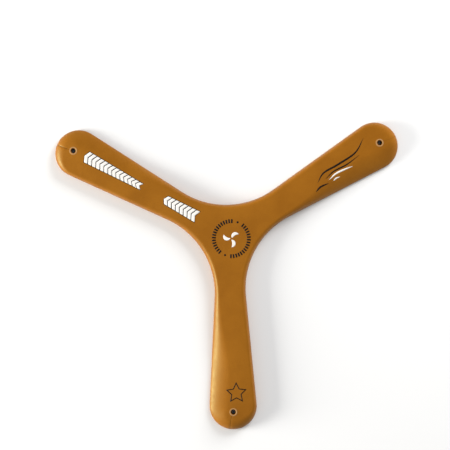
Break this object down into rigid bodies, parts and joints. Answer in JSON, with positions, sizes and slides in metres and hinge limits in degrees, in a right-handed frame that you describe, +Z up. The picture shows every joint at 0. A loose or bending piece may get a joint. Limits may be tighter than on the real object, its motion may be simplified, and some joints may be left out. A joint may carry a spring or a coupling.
{
  "type": "three-blade foam boomerang",
  "caption": "Flat foam boomerang with equal rounded arms, a foil-shaped edge, a moulded-in core and printed marks on its top face.",
  "frame": {"origin": "hub centre, on the flat underside", "axes": "+Z up through the printed top face, -Y along the arm with the star; the other arms lie at 30 and 150 degrees from +X"},
  "size_m": [0.2822, 0.2496, 0.0101],
  "materials": {
    "foam_skin": "integral-skin polyurethane foam, satin, fine leathery texture",
    "core_plastic": "moulded polypropylene sheet",
    "white_ink": "satin printed ink",
    "black_ink": "satin printed ink"
  },
  "bodies": {
    "root": {"foam_body": "foam_skin", "stiffening_core": "core_plastic", "white_arm_marks": "white_ink", "mark_keyline": "black_ink", "black_flow_strokes": "black_ink", "white_flow_strokes": "white_ink", "hub_bar_ring": "black_ink", "hub_pinwheel": "white_ink", "star_outline": "black_ink"}
  },
  "joints": []
}
